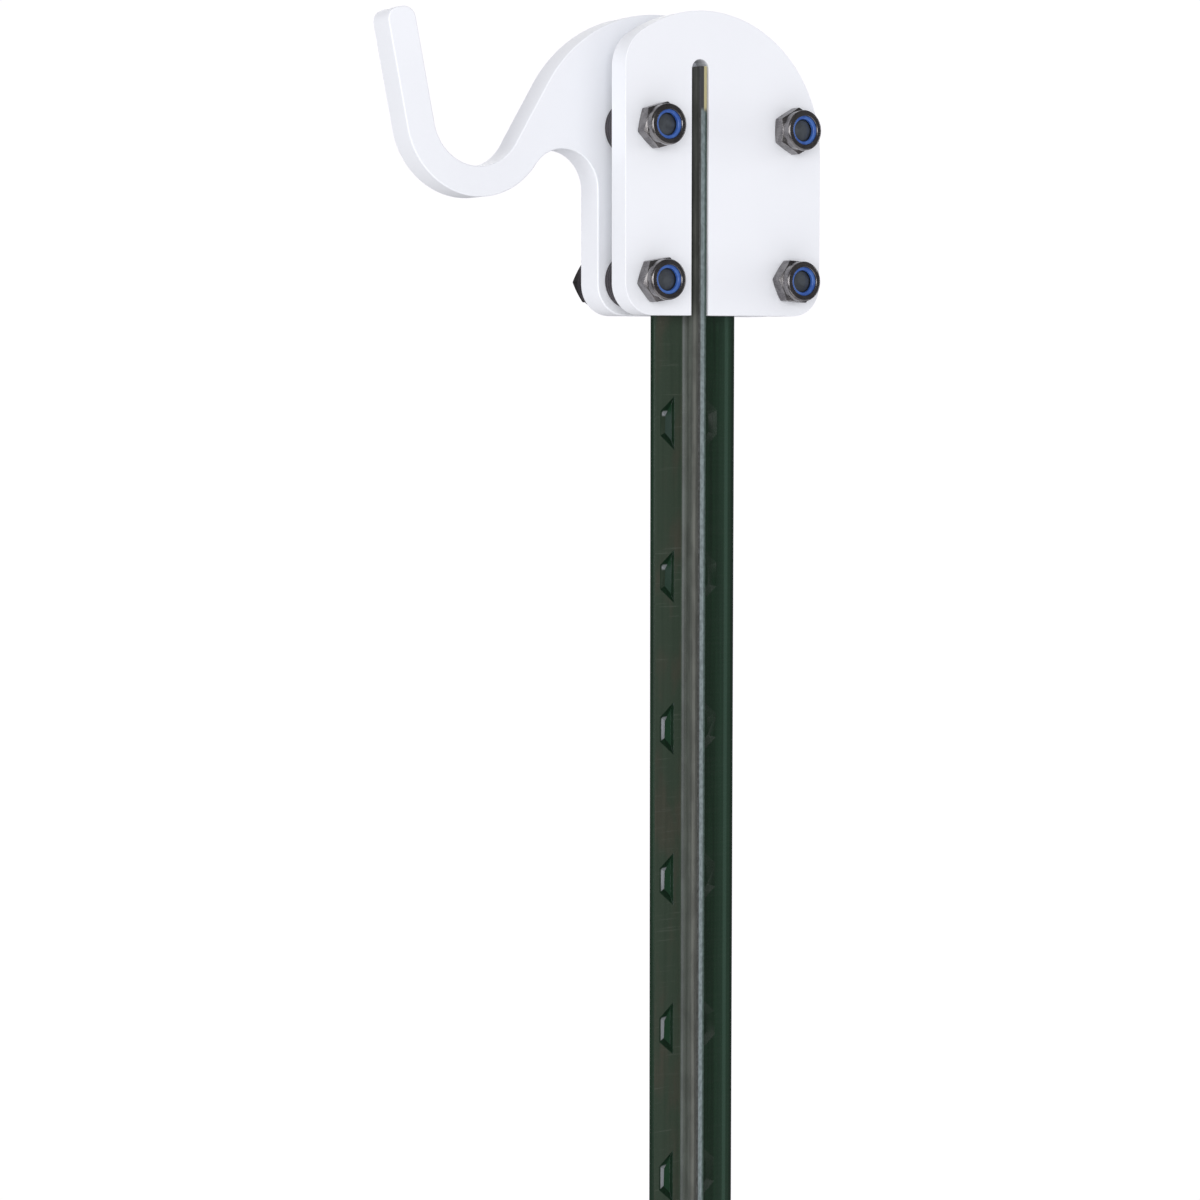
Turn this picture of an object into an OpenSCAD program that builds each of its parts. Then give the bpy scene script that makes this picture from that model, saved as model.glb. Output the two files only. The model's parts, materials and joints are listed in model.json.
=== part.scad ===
// Studded steel T-post carrying a bolted two-plate hook bracket on its top end.
// Frame: origin on the lower end of the post, on the stem's middle plane and the
// flange's stem-side face. +Z up the post, -Y towards the stem, -X towards the hook.

/* [Post] */
// Length of the post
post_len = 1219; // [900:1:2450]
// Flange reach from the stem's middle plane, on the hook side
flange_left = 14.5; // [12:0.1:20]
// Flange reach from the stem's middle plane, on the far side
flange_right = 19.5; // [12:0.1:22]
// Flange thickness
flange_t = 3; // [2:0.1:5]
// Radius of the flange's rounded edges
flange_edge_r = 0.9; // [0.3:0.1:1]
// Stem depth, from the flange's face to the stem's free edge
stem_depth = 9; // [6:0.1:40]
// Stem thickness
stem_t = 3; // [2:0.1:4.5]
// Fillet between stem and flange
root_r = 2; // [0.5:0.1:3]

/* [Studs] */
// Distance from one stud to the next
stud_pitch = 54.4; // [30:0.1:80]
// Distance of the highest stud's middle below the post's top end
stud_first = 15.5; // [10:0.1:40]
// Width of a stud across the flange
stud_w = 18.4; // [10:0.1:19]
// Height of a stud at its foot
stud_foot_h = 19; // [8:0.5:28]
// Height of a stud at its crest
stud_crest_h = 10; // [4:0.5:18]
// Projection of a stud from the flange
stud_out = 5; // [2:0.1:5.4]
// Inner edge of the pressed dents, from the stem's middle plane
dent_in = 6; // [4.5:0.1:8]
// Outer edge of the pressed dents, from the stem's middle plane
dent_out = 11.8; // [9:0.1:13]
// Height of a dent at its outer edge
dent_outer_h = 8.6; // [4:0.1:12]
// Depth of a dent
dent_depth = 1.3; // [0.5:0.1:1.8]

/* [Anchor plate] */
// Height of the anchor plate's top edge above the post's lower end
anchor_top = 330; // [250:1:500]
// Height of the anchor plate
anchor_h = 165; // [100:1:220]
// Width of the anchor plate across its shoulders
anchor_w = 118; // [80:1:150]
// Width of the anchor plate's lower end
anchor_tip_w = 34; // [20:1:60]
// Width of the anchor plate's top edge
anchor_top_w = 73; // [40:1:118]
// Drop from the anchor plate's top edge to its shoulders
anchor_shoulder_drop = 26.5; // [5:0.5:60]
// Drop from the anchor plate's top edge to where its sides start to narrow
anchor_taper_drop = 69.5; // [30:0.5:95]
// Anchor plate thickness
anchor_t = 3.2; // [2:0.1:5]
// Rivet shank diameter
rivet_d = 6; // [4:0.1:7]
// Rivet head diameter
rivet_head_d = 9.4; // [7:0.1:10]
// Rivet head height
rivet_head_h = 2.6; // [1.5:0.1:4]
// Distance of a rivet from the stem's middle plane
rivet_x = 9; // [8:0.1:11]
// Distance of the upper rivets below the anchor plate's top edge
rivet_first = 26; // [15:1:60]
// Distance between the upper and lower rivets
rivet_rise = 84; // [40:1:110]

/* [Bracket plates] */
// Width of the plates without the hook
plate_w = 81; // [72:0.5:110]
// Height of the plates
plate_h = 105.5; // [95:0.5:150]
// Distance of the round top's middle from the plates' edge on the hook side
top_in = 33; // [26:0.5:40]
// Radius of the slotted plate's upper corner on the hook side
shoulder_corner_r = 14; // [8:0.5:20]
// Radius of the plates' lower corners
foot_corner_r = 11; // [4:0.5:16]
// Thickness of the slotted plate
front_t = 9.5; // [6:0.1:13]
// Thickness of the hook plate
rear_t = 12; // [6:0.1:16]
// Free space between the two plates
plate_gap = 9.5; // [9.2:0.1:14]
// Width of the stem slot
slot_w = 7; // [4.5:0.1:12]
// Height of the slot's closed end above the plate's lower edge
slot_h = 88.7; // [60:0.1:95]

/* [Hook] */
// Distance from the plates' side edge to the middle of the hook's seat
hook_reach = 47; // [40:0.5:70]
// Height of the seat's middle above the plates' lower edge
seat_rise = 67.5; // [60:0.5:75]
// Radius of the hook's seat
seat_r = 17; // [10:0.5:20]
// Width of the hook's bar
bar_w = 10.4; // [8:0.1:14]
// Lean of the hook's tip away from the post
tip_lean = 11; // [0:0.5:20]
// Length of the hook's straight tip
tip_len = 40; // [20:0.5:60]
// Corner radius of the hook's tip
tip_r = 4.2; // [1:0.1:5]
// Radius of the shoulder that runs from the hook into the plate's top
shoulder_r = 52; // [48:0.5:56]
// Distance of the shoulder's middle inside the plates' side edge
shoulder_in = 25; // [20:0.5:30]
// Radius of the notch under the neck
notch_r = 13.5; // [10:0.1:16]

/* [Fasteners] */
// Bolt diameter
bolt_d = 9.5; // [8:0.1:10]
// Distance of the bolts from the plates' side edges
bolt_side = 12.4; // [11:0.1:14]
// Distance of the lower bolts above the plates' lower edge
bolt_base = 12.2; // [11:0.1:20]
// Distance between lower and upper bolts
bolt_rise = 53; // [40:0.5:60]
// Diametral clearance of the bolts in plates and spacers
bolt_clear = 0.8; // [0.3:0.1:1.2]
// Chamfer on the bolt's end
bolt_chamfer = 0.9; // [0.3:0.1:1.5]
// Distance of the bolt's end below the locknut's top
bolt_short = 2.2; // [0:0.1:2.4]
// Width across flats of bolt heads and locknuts
hex_af = 14.3; // [13:0.1:17]
// Height of the bolt's head
head_h = 6; // [4:0.1:8]
// Length of the spacers under the bolts' heads
rear_spacer_h = 7.8; // [2:0.1:12]
// Height of the locknut
nut_h = 8.8; // [8:0.1:13]
// Height of the locknut's hexagon
nut_hex_h = 5.2; // [4:0.1:6]
// Wall of the locknut's collar around the nylon insert
collar_wall = 1.05; // [0.5:0.05:1.2]
// Wall of the nylon insert
insert_wall = 1.25; // [0.9:0.05:1.6]
// Height of the nylon insert
insert_h = 2.3; // [1:0.1:2.6]
// Reach of the nylon past the bolt's crest, ahead of the bolt's end
insert_grip = 0.85; // [0.3:0.05:1.5]
// Distance between the bolt and the edge of the locknut's lip
lip_gap = 0.25; // [0.2:0.05:0.85]

/* [Clearances] */
// Running gap between the post and the bracket
run_gap = 0.3; // [0.2:0.05:0.6]
// Gap between the flange's edge and the bolts on the hook side
bolt_gap = 0.35; // [0.2:0.05:2]
// Gap between the studs and the spacers on the hook side
stud_gap = 0.65; // [0.3:0.05:1.5]
// Gap between the stem and the slot's side away from the hook
stem_gap = 0.4; // [0.2:0.05:1]
// Room behind the slot around the post's fillets
fillet_gap = 0.4; // [0.2:0.05:1]
// Gap between a thread's crest and the nut, the insert or the rivet hole, on the diameter
thread_gap = 0.1; // [0.05:0.01:0.2]

/* [Hidden] */

fine = 96;       // segments of a true circle
eps = 0.02;      // overlap that joins two solids of one piece
far = 200;       // reach of a cutting shape, past any plate
seat_dive = 0.05;  // how far the throat's sides run inside the seat's circle
insert_step = 0.5;  // height of the insert's seat above the locknut's hexagon
left = 0;        // column of fasteners on the hook side
right = 1;       // column of fasteners on the far side
lower = 0;
upper = 1;

flange_w = flange_left + flange_right;
// The bolts on the hook side pass just outside the flange's edge
plate_left = flange_left + bolt_gap + bolt_d / 2 + bolt_side;
plate_right = plate_w - plate_left;
top_r = plate_w - top_in;
bolt_x = [-plate_left + bolt_side, plate_right - bolt_side];
bolt_z = [bolt_base, bolt_base + bolt_rise];
bolt_hole_d = bolt_d + bolt_clear;
spacer_d = 2 * (-bolt_x[0] - stud_w / 2 - stud_gap);
insert_d = bolt_d + 2 * insert_wall;
collar_d = insert_d + 2 * collar_wall;
lip_d = bolt_d + 2 * lip_gap;

// Depths of the bracket's faces, from the flange's stem-side face
front_face_y = -run_gap - front_t;
front_back_y = -run_gap;
rear_face_y = plate_gap - run_gap;
rear_back_y = rear_face_y + rear_t;
head_y = rear_back_y + rear_spacer_h;
// Spacers on the hook side stand behind the flange's edge, the others fill the gap
spacer_y = [flange_t + run_gap, front_back_y];

// The slot's round end comes down onto the stem's corner
slot_r = slot_w / 2;
slot_off = slot_r - stem_t / 2 - stem_gap;
slot_relief = root_r + fillet_gap;
slot_end_z = slot_h - slot_r;
stem_corner_off = max(abs(slot_off + stem_t / 2), abs(slot_off - stem_t / 2));
slot_seat_z = slot_end_z + sqrt(max(pow(slot_r, 2) - pow(stem_corner_off, 2), 0));
bracket_z = post_len + run_gap - slot_seat_z;

// Turn of each locknut and bolt head about its bolt: [column][level]
nut_turn = [[13, 17], [-5, 30]];
head_turn = [[0, 22], [41, 8]];

// Centres of the plates' arcs
top_c = [plate_right - top_r, plate_h - top_r];
corner_c = [
    -plate_left + shoulder_corner_r,
    top_c[1] + sqrt(pow(top_r - shoulder_corner_r, 2)
        - pow(top_c[0] + plate_left - shoulder_corner_r, 2))
];
seat_c = [-plate_left - hook_reach, seat_rise];
shoulder_c = [-plate_left + shoulder_in, plate_h - shoulder_r];
bar_r = seat_r + bar_w;
notch_dx = hook_reach - notch_r;
notch_c = [
    -plate_left - notch_r,
    seat_rise - sqrt(pow(bar_r + notch_r, 2) - pow(notch_dx, 2))
];
// The neck's upper edge is the line that touches both the seat and the shoulder
neck_dir = atan2(shoulder_c[1] - seat_c[1], shoulder_c[0] - seat_c[0])
    - acos((seat_r + shoulder_r) / norm(shoulder_c - seat_c));
tip_dir = 180 + tip_lean;

studs = floor((post_len - stud_first - stud_foot_h / 2 - anchor_top) / stud_pitch) + 1;
stud_z = [for (i = [0 : studs - 1]) post_len - stud_first - i * stud_pitch];
rivet_z = [anchor_top - rivet_first - rivet_rise, anchor_top - rivet_first];

function on_circle(centre, r, a) = centre + r * [cos(a), sin(a)];

// Points of an arc: a finer step on the large radii
function arc(centre, r, a0, a1) =
    let (step = r > 20 ? 3 : 7.5, n = ceil(abs(a1 - a0) / step))
    [for (i = [0 : n]) on_circle(centre, r, a0 + (a1 - a0) * i / n)];

// Stands an outline drawn in X and Z upright, from depth y over thickness t
module upright(y, t) {
    translate([0, y + t, 0]) rotate([90, 0, 0]) linear_extrude(t) children();
}

// Turns a shape made along +Z to point along -Y
module facing_front() {
    rotate([90, 0, 0]) children();
}

// Places children at one of the four bolts: bracket frame, Y = 0 kept
module at_bolt(column, level) {
    translate([bolt_x[column], 0, bracket_z + bolt_z[level]]) children();
}

module rounded_rect(size, r) {
    translate([r, 0]) square([size[0] - 2 * r, size[1]]);
    translate([0, r]) square([size[0], size[1] - 2 * r]);
    for (x = [r, size[0] - r], y = [r, size[1] - r])
        translate([x, y]) circle(r, $fn = fine);
}

// ---- post ----

module post_section() {
    translate([-flange_left, 0]) rounded_rect([flange_w, flange_t], flange_edge_r);
    translate([-stem_t / 2, -stem_depth]) square([stem_t, stem_depth + eps]);
    for (side = [-1, 1])
        difference() {
            translate([side * (stem_t / 2 + root_r / 2), (eps - root_r) / 2])
                square([root_r, root_r + eps], center = true);
            translate([side * (stem_t / 2 + root_r), -root_r]) circle(root_r, $fn = fine);
        }
}

module stud() {
    foot = stud_foot_h / 2;
    crest = stud_crest_h / 2;
    translate([-stud_w / 2, 0, 0]) rotate([90, 0, 90]) linear_extrude(stud_w)
        polygon([
            [flange_t - eps, -foot], [flange_t, -foot], [flange_t + stud_out, -crest],
            [flange_t + stud_out, crest], [flange_t, foot], [flange_t - eps, foot]
        ]);
}

module dent(side) {
    upright(-1, 1 + dent_depth)
        polygon([
            [side * dent_in, -stud_foot_h / 2], [side * dent_out, -dent_outer_h / 2],
            [side * dent_out, dent_outer_h / 2], [side * dent_in, stud_foot_h / 2]
        ]);
}

module rivet_hole(d, y, t) {
    translate([0, y + t, 0]) facing_front() cylinder(h = t, d = d, $fn = fine);
}

module t_post() {
    color("#22382b")
        difference() {
            union() {
                linear_extrude(post_len) post_section();
                for (z = stud_z) translate([0, 0, z]) stud();
            }
            for (z = stud_z, side = [-1, 1]) translate([0, 0, z]) dent(side);
            for (x = [-rivet_x, rivet_x], z = rivet_z)
                translate([x, 0, z]) rivet_hole(rivet_d + thread_gap, -1, flange_t + 2);
        }
}

module anchor_outline() {
    w = anchor_w / 2;
    crest = anchor_top_w / 2;
    tip = anchor_tip_w / 2;
    polygon([
        [-crest, anchor_top], [crest, anchor_top],
        [w, anchor_top - anchor_shoulder_drop], [w, anchor_top - anchor_taper_drop],
        [tip, anchor_top - anchor_h], [-tip, anchor_top - anchor_h],
        [-w, anchor_top - anchor_taper_drop], [-w, anchor_top - anchor_shoulder_drop]
    ]);
}

module anchor_plate() {
    color("#22382b")
        difference() {
            upright(flange_t, anchor_t) anchor_outline();
            for (x = [-rivet_x, rivet_x], z = rivet_z)
                translate([x, 0, z])
                    rivet_hole(rivet_d + thread_gap, flange_t - 1, anchor_t + 2);
        }
}

// One rivet through flange and anchor plate, with a domed head on both sides
module rivet(side, level) {
    grip = flange_t + anchor_t;
    dome_r = (pow(rivet_head_d / 2, 2) + pow(rivet_head_h, 2)) / (2 * rivet_head_h);
    color("#1d3025")
        translate([side * rivet_x, grip, rivet_z[level]]) facing_front()
            rotate_extrude($fn = fine)
                intersection() {
                    union() {
                        translate([0, -eps]) square([rivet_d / 2, grip + 2 * eps]);
                        intersection() {
                            translate([0, grip + rivet_head_h - dome_r]) circle(dome_r, $fn = fine);
                            translate([0, grip]) square([rivet_head_d, rivet_head_h]);
                        }
                        intersection() {
                            translate([0, dome_r - rivet_head_h]) circle(dome_r, $fn = fine);
                            translate([0, -rivet_head_h]) square([rivet_head_d, rivet_head_h]);
                        }
                    }
                    translate([0, -far]) square([far, 2 * far]);
                }
}

// ---- bracket plates ----

// Lower corners, straight far side and round top of both plates, up to angle a of the top
function plate_run(a) = concat(
    arc([-plate_left + foot_corner_r, foot_corner_r], foot_corner_r, 180, 270),
    arc([plate_right - foot_corner_r, foot_corner_r], foot_corner_r, 270, 360),
    arc(top_c, top_r, 0, a)
);

// The round top turns down into the side edge through one small corner
module slotted_outline() {
    corner_dir = atan2(corner_c[1] - top_c[1], corner_c[0] - top_c[0]);
    polygon(concat(
        plate_run(corner_dir),
        arc(corner_c, shoulder_corner_r, corner_dir, 180)
    ));
}

// Point of the hook's tip: u outwards from the seat's middle, v along the tip
function tip_point(u, v) = seat_c + u * [cos(tip_dir), sin(tip_dir)]
    + v * [sin(tip_dir), -cos(tip_dir)];

// Plate, shoulder, throat, tip, outside of the hook and the notch under the neck.
// The throat's sides dive inside the seat's circle, which is then cut as a true round.
module hook_outline() {
    notch_dir = atan2(notch_c[1] - seat_c[1], notch_c[0] - seat_c[0]);
    dive_r = seat_r - seat_dive;
    polygon(concat(
        plate_run(90),
        arc(shoulder_c, shoulder_r, 90, 180 + neck_dir),
        [on_circle(seat_c, dive_r, neck_dir), seat_c, on_circle(seat_c, dive_r, tip_dir)],
        arc(tip_point(seat_r + tip_r, tip_len - tip_r), tip_r, tip_dir - 180, tip_dir - 90),
        arc(tip_point(bar_r - tip_r, tip_len - tip_r), tip_r, tip_dir - 90, tip_dir),
        arc(seat_c, bar_r, tip_dir, 360 + notch_dir),
        arc(notch_c, notch_r, 180 + notch_dir, 0)
    ));
}

module bolt_holes() {
    for (x = bolt_x, z = bolt_z)
        translate([x, z]) circle(d = bolt_hole_d, $fn = fine);
}

module hook_plate() {
    color("#f4f4f8")
        translate([0, 0, bracket_z]) upright(rear_face_y, rear_t)
            difference() {
                hook_outline();
                translate(seat_c) circle(seat_r, $fn = 2 * fine);
                bolt_holes();
            }
}

module slotted_plate() {
    color("#fbfbfd")
        translate([0, 0, bracket_z])
            difference() {
                upright(front_face_y, front_t)
                    difference() {
                        slotted_outline();
                        bolt_holes();
                        translate([-slot_off, slot_end_z]) circle(slot_r, $fn = fine);
                        translate([-slot_off - slot_r, -1]) square([slot_w, slot_end_z + 1]);
                    }
                slot_chamfer();
            }
}

// Chamfer along the slot's edges on the side of the post
module slot_chamfer() {
    wide = slot_r + slot_relief;
    translate([-slot_off, front_back_y, 0]) {
        translate([0, 0, -1]) linear_extrude(slot_end_z + 1)
            polygon([[-wide, 0], [wide, 0], [slot_r, -slot_relief], [-slot_r, -slot_relief]]);
        translate([0, 0, slot_end_z]) facing_front()
            cylinder(h = slot_relief, r1 = wide, r2 = slot_r, $fn = fine);
    }
}

// ---- fasteners ----

module hexagon_bar(h) {
    cylinder(h = h, d = hex_af / cos(30), $fn = 6);
}

// Hexagon whose corners are bevelled at its upper end, or at both
module hexagon_body(h, both) {
    corner = hex_af / cos(30);
    bevel = (corner - hex_af) / 2;
    intersection() {
        hexagon_bar(h);
        rotate_extrude($fn = fine)
            polygon([
                [0, 0], [both ? hex_af / 2 : corner, 0], [corner / 2 + eps, both ? bevel * 0.6 : 0],
                [corner / 2 + eps, h - bevel * 0.6], [hex_af / 2, h], [0, h]
            ]);
    }
}

module bolt(column, level) {
    shank = head_y - front_face_y + nut_h - bolt_short;
    color("#141416")
        at_bolt(column, level) translate([0, head_y, 0]) {
            facing_front() {
                translate([0, 0, -head_h / 2])
                    cylinder(h = head_h / 2 + shank - bolt_chamfer, d = bolt_d, $fn = fine);
                translate([0, 0, shank - bolt_chamfer])
                    cylinder(h = bolt_chamfer, d1 = bolt_d, d2 = bolt_d - 2 * bolt_chamfer, $fn = fine);
            }
            rotate([-90, 0, 0]) rotate(head_turn[column][level]) hexagon_body(head_h, false);
        }
}

module locknut(column, level) {
    recess_z = nut_hex_h + insert_step;
    lip_z = recess_z + insert_h;
    dome = (nut_h - nut_hex_h) * 0.4;
    color("#3c3a3e")
        at_bolt(column, level) translate([0, front_face_y, 0]) facing_front()
            rotate(nut_turn[column][level])
                difference() {
                    union() {
                        hexagon_body(nut_hex_h, true);
                        rotate_extrude($fn = fine)
                            polygon([
                                [0, 0.5], [collar_d / 2, 0.5], [collar_d / 2, nut_h - dome],
                                [collar_d / 2 - dome * 0.3, nut_h - dome * 0.45],
                                [collar_d / 2 - dome * 0.7, nut_h], [0, nut_h]
                            ]);
                    }
                    translate([0, 0, -1])
                        cylinder(h = nut_h + 2, d = bolt_d + thread_gap, $fn = fine);
                    translate([0, 0, recess_z])
                        cylinder(h = insert_h, d = insert_d + thread_gap, $fn = fine);
                    translate([0, 0, lip_z - eps])
                        cylinder(h = nut_h, d = lip_d, $fn = fine);
                }
}

// Ring that takes the bolt's end at its back and is uncut ahead of it
module nylon_insert(column, level) {
    start_z = nut_hex_h + insert_step;
    cut_h = nut_h - bolt_short + thread_gap - start_z;
    color("#2f57b8")
        at_bolt(column, level) translate([0, front_face_y - start_z, 0]) facing_front()
            difference() {
                cylinder(h = insert_h, d = insert_d, $fn = fine);
                translate([0, 0, -1])
                    cylinder(h = insert_h + 2, d = bolt_d - 2 * insert_grip, $fn = fine);
                translate([0, 0, -1])
                    cylinder(h = cut_h + 1, d = bolt_d + thread_gap, $fn = fine);
            }
}

// Tube around a bolt, from depth y over a length
module tube(column, level, y, length) {
    color("#2a2a2e")
        at_bolt(column, level) translate([0, y + length, 0]) facing_front()
            difference() {
                cylinder(h = length, d = spacer_d, $fn = fine);
                translate([0, 0, -1]) cylinder(h = length + 2, d = bolt_hole_d, $fn = fine);
            }
}

module spacer(column, level) {
    tube(column, level, spacer_y[column], rear_face_y - spacer_y[column]);
}

module rear_spacer(column, level) {
    tube(column, level, rear_back_y, rear_spacer_h);
}

t_post();
anchor_plate();
rivet(-1, upper);  // rivet_upper_left
rivet(1, upper);  // rivet_upper_right
rivet(-1, lower);  // rivet_lower_left
rivet(1, lower);  // rivet_lower_right
hook_plate();
slotted_plate();
bolt(left, upper);  // bolt_upper_left
bolt(right, upper);  // bolt_upper_right
bolt(left, lower);  // bolt_lower_left
bolt(right, lower);  // bolt_lower_right
locknut(left, upper);  // locknut_upper_left
locknut(right, upper);  // locknut_upper_right
locknut(left, lower);  // locknut_lower_left
locknut(right, lower);  // locknut_lower_right
nylon_insert(left, upper);  // nylon_insert_upper_left
nylon_insert(right, upper);  // nylon_insert_upper_right
nylon_insert(left, lower);  // nylon_insert_lower_left
nylon_insert(right, lower);  // nylon_insert_lower_right
spacer(left, upper);  // spacer_upper_left
spacer(right, upper);  // spacer_upper_right
spacer(left, lower);  // spacer_lower_left
spacer(right, lower);  // spacer_lower_right
rear_spacer(left, upper);  // rear_spacer_upper_left
rear_spacer(right, upper);  // rear_spacer_upper_right
rear_spacer(left, lower);  // rear_spacer_lower_left
rear_spacer(right, lower);  // rear_spacer_lower_right
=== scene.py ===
"""Looks of a studded steel T-post with a bolted two-plate hook bracket, built around its CAD frame."""

import sys
import json
import logging
import math
from collections.abc import Callable, Iterator
from contextlib import contextmanager
from dataclasses import dataclass, field
from enum import Enum

import bmesh
import bpy
from mathutils import Matrix, Vector

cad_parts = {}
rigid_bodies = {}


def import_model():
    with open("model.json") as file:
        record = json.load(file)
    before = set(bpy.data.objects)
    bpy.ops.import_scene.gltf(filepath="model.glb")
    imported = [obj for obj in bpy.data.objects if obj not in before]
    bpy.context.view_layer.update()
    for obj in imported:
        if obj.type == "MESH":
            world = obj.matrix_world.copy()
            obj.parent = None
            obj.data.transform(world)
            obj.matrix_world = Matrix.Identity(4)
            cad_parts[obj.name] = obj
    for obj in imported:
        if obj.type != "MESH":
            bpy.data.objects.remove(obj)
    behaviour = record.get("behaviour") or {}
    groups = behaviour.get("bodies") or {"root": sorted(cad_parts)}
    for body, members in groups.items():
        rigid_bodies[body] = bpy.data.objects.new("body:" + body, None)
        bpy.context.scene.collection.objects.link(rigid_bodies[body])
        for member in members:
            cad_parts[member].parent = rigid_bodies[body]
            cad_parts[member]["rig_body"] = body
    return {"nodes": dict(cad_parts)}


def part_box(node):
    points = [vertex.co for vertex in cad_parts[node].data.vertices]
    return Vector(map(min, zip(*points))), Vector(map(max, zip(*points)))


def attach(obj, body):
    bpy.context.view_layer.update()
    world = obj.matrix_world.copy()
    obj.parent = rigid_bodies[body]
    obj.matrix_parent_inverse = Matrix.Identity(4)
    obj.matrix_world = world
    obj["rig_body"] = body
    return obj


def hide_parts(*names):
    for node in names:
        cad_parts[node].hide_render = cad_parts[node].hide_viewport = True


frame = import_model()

MM = 0.001
POST_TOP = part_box("t_post")[1].z
STUD_PITCH = 54.4 * MM
STUD_DROP = 15.5 * MM  # from the post's top to the middle of its highest studs
SHARP_ANGLE = math.radians(40)

LOG = logging.getLogger("hook_post")
Piece = bpy.types.Object
Socket = bpy.types.NodeSocket
Sockets = bpy.types.bpy_prop_collection
Number = float | Socket
Run = tuple[float, float]
Triple = tuple[float, float, float]
Colour = Triple
Profile = list[tuple[float, float]]
Stop = tuple[float, Colour]


class Side(Enum):
    """Column of fasteners."""

    LEFT = "left"
    RIGHT = "right"


class Level(Enum):
    """Row of fasteners or rivets."""

    LOWER = "lower"
    UPPER = "upper"


class Facing(Enum):
    """Direction in which a piece modelled along +Z points once it is in place."""

    FRONT = 90.0
    BACK = -90.0


# ---------------------------------------------------------------- modelling


def clear_selection() -> None:
    """Deselects every object."""
    bpy.ops.object.select_all(action="DESELECT")


def take(piece: Piece) -> None:
    """Makes one piece the active and only selected object.

    Args:
        piece: the piece.
    """
    clear_selection()
    piece.select_set(True)
    bpy.context.view_layer.objects.active = piece


def settle() -> None:
    """Moves the active piece's place, turn and size into its mesh."""
    bpy.ops.object.transform_apply(location=True, rotation=True, scale=True)


@contextmanager
def editing(piece: Piece) -> Iterator[None]:
    """Holds a piece open in edit mode.

    Args:
        piece: the piece.
    """
    take(piece)
    bpy.ops.object.mode_set(mode="EDIT")
    yield
    bpy.ops.object.mode_set(mode="OBJECT")


def pick(piece: Piece, kind: str, test: Callable[[bmesh.types.BMVert | bmesh.types.BMEdge], bool]) -> None:
    """Selects corners or edges of the piece that is open in edit mode.

    Args:
        piece: the piece in edit mode.
        kind: VERT or EDGE.
        test: says whether a corner or edge is wanted.
    """
    bpy.ops.mesh.select_mode(type=kind)
    mesh = bmesh.from_edit_mesh(piece.data)
    for part in mesh.verts if kind == "VERT" else mesh.edges:
        part.select_set(test(part))
    mesh.select_flush_mode()
    bmesh.update_edit_mesh(piece.data)


def apply_modifier(piece: Piece, kind: str, **settings: object) -> None:
    """Adds a modifier with its settings and applies it.

    Args:
        piece: the piece that gets it.
        kind: the modifier's type.
        settings: values of the modifier's properties.
    """
    take(piece)
    modifier = piece.modifiers.new(kind.lower(), kind)
    for key, value in settings.items():
        setattr(modifier, key, value)
    bpy.ops.object.modifier_apply(modifier=modifier.name)


def in_order(piece: Piece) -> None:
    """Puts the corners, edges and faces of the piece in edit mode in the order of their places.

    A cut leaves them in a different order each time, and what is merged later depends on it.

    Args:
        piece: the piece in edit mode.
    """
    mesh = bmesh.from_edit_mesh(piece.data)
    for row, spot in (
        (mesh.verts, lambda point: tuple(point.co)),
        (mesh.edges, lambda edge: sorted(point.index for point in edge.verts)),
        (mesh.faces, lambda face: sorted(point.index for point in face.verts)),
    ):
        row.index_update()
        ranks = {part.index: rank for rank, part in enumerate(sorted(row, key=spot))}
        row.sort(key=lambda part, ranks=ranks: ranks[part.index])
        row.index_update()
    bmesh.update_edit_mesh(piece.data)


def heal(piece: Piece, reach: float) -> None:
    """Merges points that lie on each other and dissolves faces without area.

    Args:
        piece: the piece to heal.
        reach: distance under which points are merged, in the piece's own unit.
    """
    with editing(piece):
        in_order(piece)
        bpy.ops.mesh.select_mode(type="VERT")
        bpy.ops.mesh.select_all(action="SELECT")
        bpy.ops.mesh.remove_doubles(threshold=reach)
        bpy.ops.mesh.dissolve_degenerate(threshold=reach)
        bpy.ops.mesh.select_all(action="SELECT")
        bpy.ops.mesh.normals_make_consistent(inside=False)


def shade(piece: Piece) -> None:
    """Shades the rounded parts of a piece smooth."""
    take(piece)
    bpy.ops.object.shade_smooth_by_angle(angle=SHARP_ANGLE)


def soften(piece: Piece, width: float, segments: int = 3, angle: float = 30.0) -> None:
    """Rounds the sharp edges of a piece and shades its flats flat.

    Args:
        piece: the piece to finish.
        width: width of the rounding, in the piece's own unit.
        segments: faces across the rounding.
        angle: smallest angle in degrees that counts as an edge.
    """
    heal(piece, width / 6)  # slivers would hold the rounding back
    apply_modifier(
        piece, "BEVEL", width=width, segments=segments, limit_method="ANGLE",
        angle_limit=math.radians(angle), use_clamp_overlap=True, harden_normals=False,
    )
    heal(piece, width / 60)
    shade(piece)
    apply_modifier(piece, "WEIGHTED_NORMAL", keep_sharp=True, weight=60)


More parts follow.
